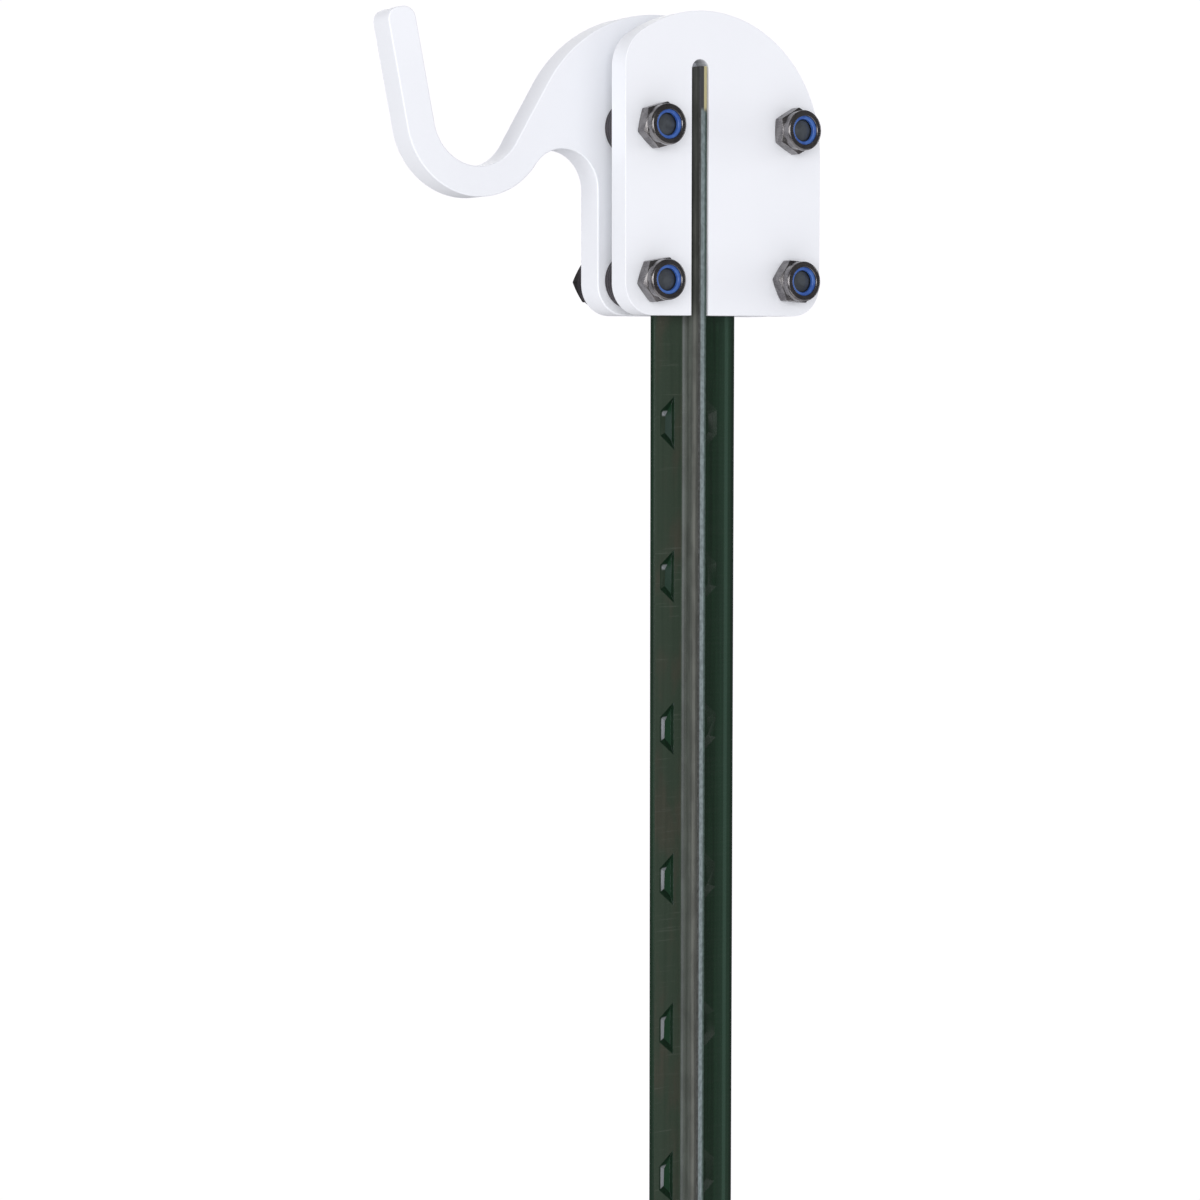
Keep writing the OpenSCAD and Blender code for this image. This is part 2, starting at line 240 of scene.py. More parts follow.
def turned(name: str, profile: Profile, bored: bool, sides: int = 64) -> Piece:
    """Turns a piece about the Z axis, ring by ring.

    Args:
        name: the piece's name.
        profile: radius and height of each corner, in the order in which they are turned.
        bored: whether the last ring joins the first one, or both ends are closed.
        sides: faces around.

    Returns:
        The new piece.
    """
    clear_selection()
    (radius, height), *rest = profile
    bpy.ops.mesh.primitive_circle_add(
        vertices=sides, radius=radius, location=(0, 0, height), fill_type="NOTHING"
    )
    piece = bpy.context.object
    piece.name = piece.data.name = name
    settle()
    with editing(piece):
        bpy.ops.mesh.select_mode(type="EDGE")
        bpy.ops.mesh.select_all(action="SELECT")
        for next_radius, next_height in rest:
            rise = (0, 0, next_height - height)
            bpy.ops.mesh.extrude_edges_move(TRANSFORM_OT_translate={"value": rise})
            grow = next_radius / radius
            bpy.ops.transform.resize(value=(grow, grow, 1), center_override=(0, 0, next_height))
            radius, height = next_radius, next_height
        pick(piece, "EDGE", lambda edge: edge.is_boundary)
        if bored:
            bpy.ops.mesh.bridge_edge_loops()
        else:
            bpy.ops.mesh.fill_holes(sides=0)
        bpy.ops.mesh.select_all(action="SELECT")
        bpy.ops.mesh.normals_make_consistent(inside=False)
    return piece


def combine(piece: Piece, tool: Piece, how: str) -> None:
    """Joins, cuts or trims a piece in millimetres with another, which is used up.

    Args:
        piece: the piece that stays.
        tool: the piece that is used up.
        how: UNION, DIFFERENCE or INTERSECT.
    """
    apply_modifier(piece, "BOOLEAN", object=tool, operation=how, solver="EXACT")
    bpy.data.objects.remove(tool)
    heal(piece, 0.004)


def place(piece: Piece, spot: Vector, facing: Facing, turn: float = 0.0) -> None:
    """Puts a piece modelled in millimetres along +Z where it belongs, with its place in its mesh.

    Args:
        piece: the piece to place.
        spot: where its origin goes, in metres.
        facing: where its +Z axis goes.
        turn: degrees about its own axis.
    """
    lean = Matrix.Rotation(math.radians(facing.value), 4, "X")
    own = Matrix.Rotation(math.radians(turn), 4, "Z")
    piece.matrix_world = Matrix.Translation(spot) @ lean @ own @ Matrix.Scale(MM, 4)
    take(piece)
    settle()


def copy_of(piece: Piece, name: str) -> Piece:
    """Copies a piece with its own mesh.

    Args:
        piece: the piece to copy.
        name: the copy's name.

    Returns:
        The copy.
    """
    twin = bpy.data.objects.new(name, piece.data.copy())
    twin.data.name = name
    bpy.context.scene.collection.objects.link(twin)
    return twin


def merged_copy(node: str, name: str) -> Piece:
    """Copies a CAD node's mesh, merges its loose triangles and dissolves the edges that lie flat.

    Args:
        node: the CAD node.
        name: the new piece's name.

    Returns:
        The new piece.
    """
    piece = copy_of(frame["nodes"][node], name)
    piece.data.materials.clear()
    with editing(piece):
        bpy.ops.mesh.select_all(action="SELECT")
        bpy.ops.mesh.customdata_custom_splitnormals_clear()
        bpy.ops.mesh.remove_doubles(threshold=0.01 * MM)
        bpy.ops.mesh.dissolve_limited(angle_limit=math.radians(0.8))
    return piece


def middle(node: str) -> Vector:
    """Middle of a CAD node's box."""
    low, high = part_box(node)
    return (low + high) / 2


# ---------------------------------------------------------------- finishes


@dataclass
class Tree:
    """The nodes of one material or group, with short ways to add and link them."""

    nodes: bpy.types.Nodes
    links: bpy.types.NodeLinks

    def add(self, kind: str, **settings: object) -> bpy.types.Node:
        """Adds a node.

        Args:
            kind: the node's type.
            settings: values of the node's properties.

        Returns:
            The node.
        """
        node = self.nodes.new(kind)
        for key, value in settings.items():
            setattr(node, key, value)
        return node

    def feed(self, socket: Socket, value: object) -> None:
        """Links a socket into another, or sets its value.

        Args:
            socket: the input to feed.
            value: an output, or the value.
        """
        if isinstance(value, Socket):
            self.links.new(value, socket)
        else:
            socket.default_value = value

    def math(self, operation: str, first: Number, second: Number = 0.0) -> Socket:
        """Puts two numbers through a maths node.

        Args:
            operation: the node's operation.
            first: the first number or socket.
            second: the second number or socket.

        Returns:
            The result's socket.
        """
        node = self.add("ShaderNodeMath", operation=operation)
        self.feed(node.inputs[0], first)
        self.feed(node.inputs[1], second)
        return node.outputs[0]

    def product(self, first: Number, *others: Number) -> Number:
        """Multiplies several masks.

        Args:
            first: the first mask.
            others: the other masks.

        Returns:
            The product's socket.
        """
        for other in others:
            first = self.math("MULTIPLY", first, other)
        return first

    def step(self, value: Number, low: float, high: float, out: Run = (0, 1)) -> Number:
        """Runs a value smoothly from one level to another.

        Args:
            value: the value to follow.
            low: where the run starts.
            high: where it ends.
            out: the results at the two ends.

        Returns:
            The result's socket.
        """
        node = self.add("ShaderNodeMapRange", interpolation_type="SMOOTHSTEP")
        self.feed(node.inputs["Value"], value)
        for key, number in zip(("From Min", "From Max", "To Min", "To Max"), (low, high, *out)):
            node.inputs[key].default_value = number
        return node.outputs["Result"]

    def blend(self, share: Number, first: object, second: object) -> Socket:
        """Mixes two colours.

        Args:
            share: share of the second colour.
            first: colour or socket at share 0.
            second: colour or socket at share 1.

        Returns:
            The mixed colour's socket.
        """
        node = self.add("ShaderNodeMix", data_type="RGBA")
        self.feed(node.inputs["Factor"], share)
        for socket, value in ((node.inputs[6], first), (node.inputs[7], second)):
            self.feed(socket, (*value, 1.0) if isinstance(value, tuple) else value)
        return node.outputs[2]

    def ramp(self, value: Number, stops: tuple[Stop, ...]) -> Socket:
        """Runs a value through a row of colours.

        Args:
            value: the value to follow, in metres.
            stops: places in millimetres and their colours, in rising order.

        Returns:
            The colour's socket.
        """
        low, high = stops[0][0], stops[-1][0]
        span = self.add("ShaderNodeMapRange")
        self.feed(span.inputs["Value"], value)
        span.inputs["From Min"].default_value = low * MM
        span.inputs["From Max"].default_value = high * MM
        node = self.add("ShaderNodeValToRGB")
        self.links.new(span.outputs["Result"], node.inputs[0])
        row = node.color_ramp.elements
        for index, (at, colour) in enumerate(stops):
            place = (at - low) / (high - low)
            stop = row[index] if index < 2 else row.new(place)
            stop.position, stop.color = place, (*colour, 1.0)
        return node.outputs["Color"]

    def tint(self, colour: object, share: Number) -> Socket:
        """Darkens or lightens a colour.

        Args:
            colour: the colour's socket.
            share: what it is multiplied by.

        Returns:
            The new colour's socket.
        """
        node = self.add("ShaderNodeVectorMath", operation="SCALE")
        self.feed(node.inputs[0], colour)
        self.feed(node.inputs["Scale"], share)
        return node.outputs["Vector"]

    def noise(self, scale: Number, stretch: Triple = (1, 1, 1), detail: float = 3.0,
              offset: Triple = (0, 0, 0)) -> Socket:
        """Adds noise over the piece's own coordinates.

        Args:
            scale: spots per metre.
            stretch: how much denser the spots are along each axis.
            detail: octaves.
            offset: shift of the pattern.

        Returns:
            The noise's value, from 0 to 1.
        """
        coordinates = self.add("ShaderNodeTexCoord")
        mapping = self.add("ShaderNodeMapping")
        mapping.inputs["Scale"].default_value = stretch
        mapping.inputs["Location"].default_value = offset
        self.links.new(coordinates.outputs["Object"], mapping.inputs["Vector"])
        node = self.add("ShaderNodeTexNoise")
        self.links.new(mapping.outputs["Vector"], node.inputs["Vector"])
        self.feed(node.inputs["Scale"], scale)
        node.inputs["Detail"].default_value = detail
        return node.outputs["Fac"]

    def split(self, kind: str, output: str) -> dict[str, Socket]:
        """Splits a new node's vector into X, Y and Z.

        Args:
            kind: the node's type.
            output: its output.

        Returns:
            The three parts by letter.
        """
        parts = self.add("ShaderNodeSeparateXYZ")
        self.links.new(self.add(kind).outputs[output], parts.inputs[0])
        return {key: parts.outputs[key] for key in "XYZ"}

    def place(self) -> dict[str, Socket]:
        """Gives the piece's own coordinates."""
        return self.split("ShaderNodeTexCoord", "Object")

    def normal(self) -> dict[str, Socket]:
        """Gives the facet's true normal."""
        return self.split("ShaderNodeNewGeometry", "True Normal")

    def group(self, tree: bpy.types.NodeTree, **values: Number) -> bpy.types.Node:
        """Places a shared effect.

        Args:
            tree: the effect's node group.
            values: its inputs, an underscore standing for a space.

        Returns:
            The placed group.
        """
        node = self.add("ShaderNodeGroup", node_tree=tree)
        for key, value in values.items():
            self.feed(node.inputs[key.replace("_", " ")], value)
        return node


def shared_group(name: str, inputs: dict[str, float], outputs: list[str]) -> tuple[Tree, dict, dict]:
    """Starts a shader node group with named sockets.

    Args:
        name: the group's name.
        inputs: its inputs and their usual values.
        outputs: its outputs.

    Returns:
        The group's tree, its input sockets and its output sockets by name.
    """
    group = bpy.data.node_groups.new(name, "ShaderNodeTree")
    for key, value in inputs.items():
        group.interface.new_socket(key, in_out="INPUT", socket_type="NodeSocketFloat").default_value = value
    for key in outputs:
        group.interface.new_socket(key, in_out="OUTPUT", socket_type="NodeSocketFloat")
    tree = Tree(group.nodes, group.links)
    start, end = tree.add("NodeGroupInput"), tree.add("NodeGroupOutput")
    return tree, {key: start.outputs[key] for key in inputs}, {key: end.inputs[key] for key in outputs}


class Effects:
    """Effects that several finishes share, each one a node group made once."""

    def __init__(self) -> None:
        """Makes the groups."""
        self.grain = self._grain()
        self.wear = self._wear()
        self.streaks = self._streaks()

    @staticmethod
    def _grain() -> bpy.types.NodeTree:
        """Fine uneven surface: a height for bump and a tone around one half.

        Returns:
            The group.
        """
        tree, start, end = shared_group(
            "fine_grain", {"Scale": 800.0, "Patch Scale": 20.0}, ["Height", "Tone"]
        )
        tree.feed(end["Height"], tree.noise(start["Scale"], (1, 1, 1), 2.0))
        tree.feed(end["Tone"], tree.noise(start["Patch Scale"], (1, 1, 1), 4.0))
        return tree.nodes.id_data

    @staticmethod
    def _wear() -> bpy.types.NodeTree:
        """Rubbed edges: a mask that is 1 where an edge has lost its finish.

        Returns:
            The group.
        """
        tree, start, end = shared_group(
            "edge_wear", {"Radius": 0.6 * MM, "Scale": 400.0, "Amount": 1.0}, ["Mask"]
        )
        bevel = tree.add("ShaderNodeBevel", samples=6)
        tree.feed(bevel.inputs["Radius"], start["Radius"])
        geometry = tree.add("ShaderNodeNewGeometry")
        dot = tree.add("ShaderNodeVectorMath", operation="DOT_PRODUCT")
        tree.feed(dot.inputs[0], bevel.outputs["Normal"])
        tree.feed(dot.inputs[1], geometry.outputs["Normal"])
        edge = tree.step(dot.outputs["Value"], 0.995, 0.9)
        broken = tree.step(tree.noise(start["Scale"], (1, 1, 1), 4.0), 0.38, 0.62)
        tree.feed(end["Mask"], tree.product(edge, broken, start["Amount"]))
        return tree.nodes.id_data

    @staticmethod
    def _streaks() -> bpy.types.NodeTree:
        """Marks drawn out along and across the piece: two masks.

        Returns:
            The group.
        """
        tree, start, end = shared_group("drawn_marks", {"Scale": 300.0}, ["Along", "Across"])
        tree.feed(end["Along"], tree.noise(start["Scale"], (1, 1, 0.02), 3.0))
        tree.feed(end["Across"], tree.noise(start["Scale"], (0.08, 0.08, 1.6), 3.0))
        return tree.nodes.id_data


@dataclass
class Canvas:
    """One material while it is made: its nodes, Principled shader and grain, and the shared effects."""

    tree: Tree
    shader: bpy.types.Node
    grain: Sockets
    effects: Effects

    def feed(self, name: str, value: Number) -> None:
        """Feeds one of the shader's inputs."""
        self.tree.feed(self.shader.inputs[name], value)

    def wear(self, radius: float, scale: float, amount: float) -> Number:
        """Masks the edges that are rubbed bare."""
        return self.tree.group(self.effects.wear, Radius=radius, Scale=scale, Amount=amount).outputs["Mask"]

    def marks(self, scale: float) -> Sockets:
        """Masks the marks drawn out Along and Across the piece."""
        return self.tree.group(self.effects.streaks, Scale=scale).outputs


@dataclass(frozen=True)
class Finish:
    """A surface finish. Numbers that are the same all over sit on the shader itself."""

    name: str
    colour: Colour
    second: Colour
    roughness: float = 0.4
    rough_swing: float = 0.06
    metallic: float = 0.0
    specular: float = 0.5
    grain_scale: float = 900.0
    patch_scale: float = 24.0
    bump: float = 0.15
    bump_height: float = 0.05 * MM

    def colour_of(self, canvas: Canvas) -> Number:
        """Base colour over the piece: two close tones in soft patches."""
        return canvas.tree.blend(canvas.tree.step(canvas.grain["Tone"], 0.35, 0.65), self.colour, self.second)

    def roughness_of(self, canvas: Canvas) -> Number:
        """Roughness over the piece, a little uneven."""
        low, high = self.roughness - self.rough_swing, self.roughness + self.rough_swing
        return canvas.tree.step(canvas.grain["Tone"], 0.3, 0.7, (low, high))

    def height_of(self, canvas: Canvas) -> Number:
        """Height of the fine relief."""
        return canvas.grain["Height"]

    def dress(self, canvas: Canvas) -> None:
        """Feeds the shader's colour and roughness."""
        canvas.feed("Base Color", self.colour_of(canvas))
        canvas.feed("Roughness", self.roughness_of(canvas))

    def material(self, effects: Effects) -> bpy.types.Material:
        """Builds the material.

        Args:
            effects: the shared node groups.

        Returns:
            The finished material.
        """
        material = bpy.data.materials.new(self.name)
        material.use_nodes = True
        tree = Tree(material.node_tree.nodes, material.node_tree.links)
        shader = tree.nodes["Principled BSDF"]
        shader.inputs["Metallic"].default_value = self.metallic
        shader.inputs["Specular IOR Level"].default_value = self.specular
        grain = tree.group(effects.grain, Scale=self.grain_scale, Patch_Scale=self.patch_scale)
        canvas = Canvas(tree, shader, grain.outputs, effects)
        self.dress(canvas)
        relief = tree.add("ShaderNodeBump")
        relief.inputs["Strength"].default_value = self.bump
        relief.inputs["Distance"].default_value = self.bump_height
        tree.feed(relief.inputs["Height"], self.height_of(canvas))
        canvas.feed("Normal", relief.outputs["Normal"])
        return material


@dataclass(frozen=True)
class PlatedFinish(Finish):
    """Dark plated steel that is rubbed bright on its edges."""

    rubbed: Colour = (0.5, 0.49, 0.5)
    wear_radius: float = 0.3 * MM
    wear_scale: float = 900.0
    wear_amount: float = 0.7
    mark_scale: float = 2600.0
    mark_roughness: float = 0.08

    def dress(self, canvas: Canvas) -> None:
        """Feeds colour and roughness, with the rubbed edges and the drawn marks on top.

        Args:
            canvas: the material that is being made.
        """
        rubbed = canvas.wear(self.wear_radius, self.wear_scale, self.wear_amount)
        canvas.feed("Base Color", canvas.tree.blend(rubbed, self.colour_of(canvas), self.rubbed))
        across = canvas.marks(self.mark_scale)["Across"]
        marked = canvas.tree.step(across, 0.4, 0.7, (0.0, self.mark_roughness))
        canvas.feed("Roughness", canvas.tree.math("ADD", self.roughness_of(canvas), marked))


@dataclass(frozen=True)
class BoltFinish(PlatedFinish):
    """Black oxide that is thinner and greyer on the bolt's sheared end."""

    end: Colour = (0.115, 0.13, 0.145)
    end_dark: Colour = (0.0805, 0.091, 0.1015)
    end_run: Run = (-13.5 * MM, -14.5 * MM)

    def colour_of(self, canvas: Canvas) -> Number:
        """Base colour, greyer towards the bolt's end.

        Args:
            canvas: the material that is being made.

        Returns:
            The colour's socket.
        """
        tree = canvas.tree
        end = tree.blend(tree.step(canvas.grain["Tone"], 0.4, 0.6), self.end, self.end_dark)
        return tree.blend(tree.step(tree.place()["Y"], *self.end_run), super().colour_of(canvas), end)


@dataclass(frozen=True)
class PostEnamel(Finish):
    """Thick green enamel on rolled steel, with chalk and painted light on the face left of the stem, painted
    light and shade on the stem and near the flange's far edge, a painted highlight on the dents' outer walls,
    and worn edges.

    The flange's stem-side face lies at Y = 0, the stem reaches towards -Y and the dents go towards +Y. A Run
    gives the places, normals or noise values between which a mask rises from 0 to 1.
    """

    # chalk with painted light: the face left of the stem is painted lighter than the face right of it
    chalk_and_painted_light: Colour = (0.033, 0.052, 0.034)
    earth: Colour = (0.050, 0.052, 0.037)
    scuffed: Colour = (0.11, 0.125, 0.105)
    # painted highlight: colour of the lighter line near the flange's far edge
    painted_edge_light: Colour = (0.028, 0.062, 0.042)
    sheltered: Colour = (0.012, 0.044, 0.021)
    veiled: Colour = (0.036, 0.062, 0.05)
    # bright bare metal, used both for real edge wear and for the painted highlight on the dents' outer walls
    wear_and_painted_highlight: Colour = (0.54, 0.57, 0.61)
    primer: Colour = (0.47, 0.43, 0.24)
    stem_top: Colour = (0.055, 0.057, 0.058)
    # grey tone of the stem's side, with two painted light lines across it and painted shade towards and at
    # its root
    stem_side_tone_and_light: tuple[Stop, ...] = (
        (-9.0, (0.080, 0.083, 0.076)), (-7.4, (0.080, 0.083, 0.076)), (-6.8, (0.150, 0.155, 0.140)),
        (-5.3, (0.150, 0.155, 0.140)), (-4.5, (0.096, 0.105, 0.094)), (-2.6, (0.090, 0.100, 0.088)),
        (-1.7, (0.070, 0.080, 0.069)), (-0.7, (0.066, 0.076, 0.066)), (-0.45, (0.088, 0.100, 0.094)),
        (-0.15, (0.088, 0.100, 0.094)), (-0.04, (0.033, 0.052, 0.033)), (0.0, (0.033, 0.052, 0.033)),
    )
    # across the stem's free edge: painted shade, a painted highlight, then darker green
    stem_edge_tone_and_light: tuple[Stop, ...] = (
        (-1.5, (0.058, 0.060, 0.057)), (-1.05, (0.058, 0.060, 0.057)), (-0.7, (0.200, 0.245, 0.252)),
        (0.5, (0.200, 0.245, 0.252)), (0.8, (0.075, 0.110, 0.100)), (1.1, (0.075, 0.110, 0.100)),
        (1.35, (0.018, 0.038, 0.024)), (1.5, (0.018, 0.038, 0.024)),
    )
    flat_normal: Run = (-0.93, -0.985)
    # painted highlight line near the flange's far edge, with a soft painted glow either side
    painted_highlight_at: float = 15.8 * MM
    painted_highlight_line: Run = (1.3 * MM, 0.4 * MM)
    painted_highlight_glow: Run = (5.5 * MM, 1.0 * MM)
    painted_highlight_glow_share: float = 0.3
    # painted shade: the flat face darkens on the rim beyond the highlight line
    rim: Run = (17.3 * MM, 18.5 * MM)
    rim_shade: float = 0.6
    face_level: Run = (0.6 * MM, 0.2 * MM)
    # side left of the stem that gets the chalk and the painted light
    lit_and_chalked_side: Run = (1.0 * MM, -2.0 * MM)
    earth_patches: Run = (0.46, 0.68)
    scuffs: Run = (0.60, 0.74)
    scuff_share: float = 0.3
    stem_root: Run = (-0.03 * MM, -0.15 * MM)
    free_edge: Run = (-8.4 * MM, -8.75 * MM)
    bared_top: Run = (POST_TOP - 16.0 * MM, POST_TOP - 14.0 * MM)
    primer_side: Run = (0.2 * MM, 0.4 * MM)
    dent_side: Run = (0.0, -2.0 * MM)
    dent_floor: Run = (0.6 * MM, 1.1 * MM)
    floor_normal: Run = (-0.9, -0.98)
    floor_veil: Run = (-0.09, -0.04)
    veil_height: Run = (POST_TOP - 199.0 * MM, POST_TOP - 169.0 * MM)
    wall_normal: Run = (0.15, 0.35)
    wall_level: Run = (0.0, 0.3 * MM)
    wall_side: Run = (0.0, -3.0 * MM)
    wall_upright: Run = (0.25, 0.15)
    wall_start: Run = (-0.085, -0.07)
    # where the painted highlight lies on the dents' outer walls
    highlight_height: Run = (POST_TOP - 196.0 * MM, POST_TOP - 199.0 * MM)
    highlight_corner: Run = (-0.04, -0.06)
    highlight_level: Run = (0.3 * MM, 0.6 * MM)
    highlight_fade: Run = (0.10, 0.02)
    highlight_fade_share: Run = (0.45, 1.0)
    wear_and_highlight_metal: float = 0.5
    wear_radius: float = 0.4 * MM
    wear_scale: float = 500.0
    wear_amount: float = 0.12
    mark_scale: float = 700.0
    chalk_roughness: float = 0.18
    mark_roughness: float = 0.1

    def height_of(self, canvas: Canvas) -> Number:
        """Rolling lines along the post on top of the paint's fine relief."""
        lines = canvas.tree.math("MULTIPLY", canvas.tree.noise(500.0, (1, 1, 0.02), 2.0), 1.2)
        return canvas.tree.math("ADD", canvas.grain["Height"], lines)

    def dress(self, canvas: Canvas) -> None:
        """Lays the enamel on the post."""
        EnamelLayers(self, canvas).lay()


class EnamelLayers:
    """The post's enamel while it is laid on, each layer blended over the colour so far."""

    def __init__(self, own: PostEnamel, canvas: Canvas) -> None:
        """Starts with the green coat and the masks that several layers share.

        Args:
            own: the enamel's colours and places.
            canvas: the material that is being made.
        """
        self.own, self.canvas, self.tree = own, canvas, canvas.tree
        tree = self.tree
        self.spot, self.normal = tree.place(), tree.normal()
        self.marks = canvas.marks(own.mark_scale)
        self.flat = tree.step(self.normal["Y"], *own.flat_normal)
        # mask of the chalk and painted light: the flat stem-side face left of the stem
        self.lit_and_chalked = tree.product(
            tree.step(self.spot["X"], *own.lit_and_chalked_side), self.flat, tree.step(self.spot["Y"], *own.face_level)
        )
        # place within a stud's pitch: -0.5 at its top, 0 in a dent's middle, 0.5 at its foot
        down = tree.math("DIVIDE", tree.math("SUBTRACT", POST_TOP - STUD_DROP, self.spot["Z"]), STUD_PITCH)
        self.local = tree.math("SUBTRACT", tree.math("FRACT", tree.math("ADD", down, 0.5)), 0.5)
        self.colour = tree.blend(tree.step(self.marks["Along"], 0.3, 0.7), own.colour, own.second)

    def lay(self) -> None:
        """Lays on every layer and feeds colour, roughness and metal."""
        own, tree, canvas = self.own, self.tree, self.canvas
        self.painted_edge_light()
        self.paint_light_and_chalk()
        self.dents()
        self.stem()
        wall = self.walls()
        # real edge wear and the painted highlight on the dents' outer walls, both laid on as bare metal
        worn_and_highlit = tree.math("MAXIMUM", wall, canvas.wear(own.wear_radius, own.wear_scale, own.wear_amount))
        self.over(worn_and_highlit, own.wear_and_painted_highlight)
        canvas.feed("Base Color", self.colour)
        gloss = tree.step(self.lit_and_chalked, 0.0, 1.0, (own.roughness, own.roughness + own.chalk_roughness))
        marked = tree.step(self.marks["Across"], 0.4, 0.7, (0.0, own.mark_roughness))
        canvas.feed("Roughness", tree.math("ADD", gloss, marked))
        canvas.feed("Metallic", tree.math("MULTIPLY", worn_and_highlit, own.wear_and_highlight_metal))

    def over(self, mask: Number, colour: object) -> None:
        """Blends a layer over the colour so far."""
        self.colour = self.tree.blend(mask, self.colour, colour)

    def painted_edge_light(self) -> None:
        """Paints a highlight line near the flange's far edge, and painted shade on the rim beyond it."""
        own, tree = self.own, self.tree
        aside = tree.math("ABSOLUTE", tree.math("SUBTRACT", self.spot["X"], own.painted_highlight_at))
        glow = tree.math("MULTIPLY", tree.step(aside, *own.painted_highlight_glow), own.painted_highlight_glow_share)
        # mask of the painted highlight line and its glow
        painted_edge_light = tree.math("MAXIMUM", tree.step(aside, *own.painted_highlight_line), glow)
        self.over(tree.math("MULTIPLY", painted_edge_light, self.flat), own.painted_edge_light)
        # painted shade towards the flange's far rim
        rim = tree.math("MULTIPLY", self.flat, tree.step(self.spot["X"], *own.rim))
        self.colour = tree.tint(self.colour, tree.step(rim, 0.0, 1.0, (1.0, own.rim_shade)))

    def paint_light_and_chalk(self) -> None:
        """Paints chalk and light on the stem-side face left of the stem, lighter than the face right of it
        that is left in shade, with earthy patches and scuffs across it.
        """
        own, tree = self.own, self.tree
        patchy = tree.math("MULTIPLY", self.lit_and_chalked, tree.step(self.marks["Along"], 0.25, 0.65, (0.8, 1.0)))
        earthy = tree.step(tree.noise(110.0, (1, 1, 0.3), 3.0, (3, 1, 2)), *own.earth_patches)
        # chalk and painted light, with earthy patches
        self.over(patchy, tree.blend(earthy, own.chalk_and_painted_light, own.earth))
        scuffs = tree.step(self.marks["Across"], *own.scuffs)
        self.over(tree.product(scuffs, self.lit_and_chalked, own.scuff_share), own.scuffed)

    def dents(self) -> None:
        """Colours the dents' floors: clean green low on the post, under a chalky veil near its top."""
        own, tree = self.own, self.tree
        floor = tree.product(
            tree.step(self.spot["Y"], *own.dent_floor), tree.step(self.normal["Y"], *own.floor_normal),
            tree.step(self.spot["X"], *own.dent_side),
        )
        veil = tree.product(
            tree.step(self.local, *own.floor_veil), tree.step(self.spot["Z"], *own.veil_height)
        )
        self.over(floor, tree.blend(veil, own.sheltered, own.veiled))

    def stem(self) -> None:
        """Colours the stem: grey tone with painted light lines and painted shade across its side, streaks
        along it, a painted highlight between painted shade across its free edge, primer at its top.
        """
        own, tree = self.own, self.tree
        streaks = tree.step(self.marks["Along"], 0.3, 0.7, (0.85, 1.15))
        patches = tree.step(tree.noise(190.0, (1, 1, 0.5), 3.0, (0, 2, 5)), 0.36, 0.64, (0.86, 1.1))
        # stem side: painted light lines and shade on its grey tone
        side = tree.ramp(self.spot["Y"], own.stem_side_tone_and_light)
        side = tree.tint(side, tree.math("MULTIPLY", streaks, patches))
        self.over(tree.step(self.spot["Y"], *own.stem_root), side)
        edge = tree.step(self.spot["Y"], *own.free_edge)
        speckle = tree.step(tree.noise(900.0, (1, 1, 0.6), 2.0), 0.35, 0.65, (0.78, 1.1))
        # free edge: painted highlight between painted shade
        self.over(edge, tree.tint(tree.ramp(self.spot["X"], own.stem_edge_tone_and_light), speckle))
        top = tree.math("MULTIPLY", edge, tree.step(self.spot["Z"], *own.bared_top))
        self.over(top, own.stem_top)
        self.over(tree.math("MULTIPLY", top, tree.step(self.spot["X"], *own.primer_side)), own.primer)

    def walls(self) -> Number:
        """Paints chalk and light on the upright outer walls of the dents left of the stem.

        Returns:
            Mask of their painted highlight, laid on as bright bare metal: the whole wall on the lower dents,
            its upper corner on the others.
        """
        own, tree = self.own, self.tree
        wall = tree.product(
            tree.step(self.normal["X"], *own.wall_normal), tree.step(self.spot["Y"], *own.wall_level),
            tree.step(self.spot["X"], *own.wall_side),
            tree.step(tree.math("ABSOLUTE", self.normal["Z"]), *own.wall_upright),
            tree.step(self.local, *own.wall_start),
        )
        # chalk and painted light on the dents' outer walls
        self.over(wall, own.chalk_and_painted_light)
        low = tree.step(self.spot["Z"], *own.highlight_height)
        # painted highlight: the lower dents' whole outer wall, the upper dents' upper corner
        return tree.product(
            wall, tree.math("MAXIMUM", low, tree.step(self.local, *own.highlight_corner)),
            tree.step(self.spot["Y"], *own.highlight_level),
            tree.step(self.local, *own.highlight_fade, own.highlight_fade_share),
        )


POWDER = Finish(
    "white_powder_coat", colour=(0.865, 0.885, 0.925), second=(0.88, 0.90, 0.94), roughness=0.42,
    rough_swing=0.05, grain_scale=620.0, patch_scale=14.0, bump=0.22, bump_height=0.06 * MM,
)
ENAMEL = PostEnamel(
    "green_post_enamel", colour=(0.0055, 0.0195, 0.0092), second=(0.00825, 0.02925, 0.0138), roughness=0.38,
    grain_scale=1400.0, bump=0.35, bump_height=0.08 * MM, specular=0.28,
)
NUT_ZINC = PlatedFinish(
    "black_zinc_nut", colour=(0.25, 0.24, 0.243), second=(0.16, 0.152, 0.158), roughness=0.23,
    rough_swing=0.05, metallic=1.0, grain_scale=2600.0, patch_scale=300.0, bump=0.1, bump_height=0.02 * MM,
    rubbed=(0.5, 0.49, 0.5), wear_amount=0.4,
)
BOLT_BLACK = BoltFinish(
    "black_oxide_bolt", colour=(0.014, 0.013, 0.013), second=(0.022, 0.020, 0.020), roughness=0.34,
    metallic=0.45, grain_scale=2400.0, patch_scale=260.0, bump=0.14, bump_height=0.03 * MM,
    rubbed=(0.16, 0.15, 0.16), wear_amount=0.5,
)
NYLON = Finish(
    "blue_nylon_ring", colour=(0.035, 0.10, 0.38), second=(0.055, 0.15, 0.47), roughness=0.34,
    grain_scale=3000.0, patch_scale=420.0, bump=0.08, bump_height=0.02 * MM, specular=0.6,
)
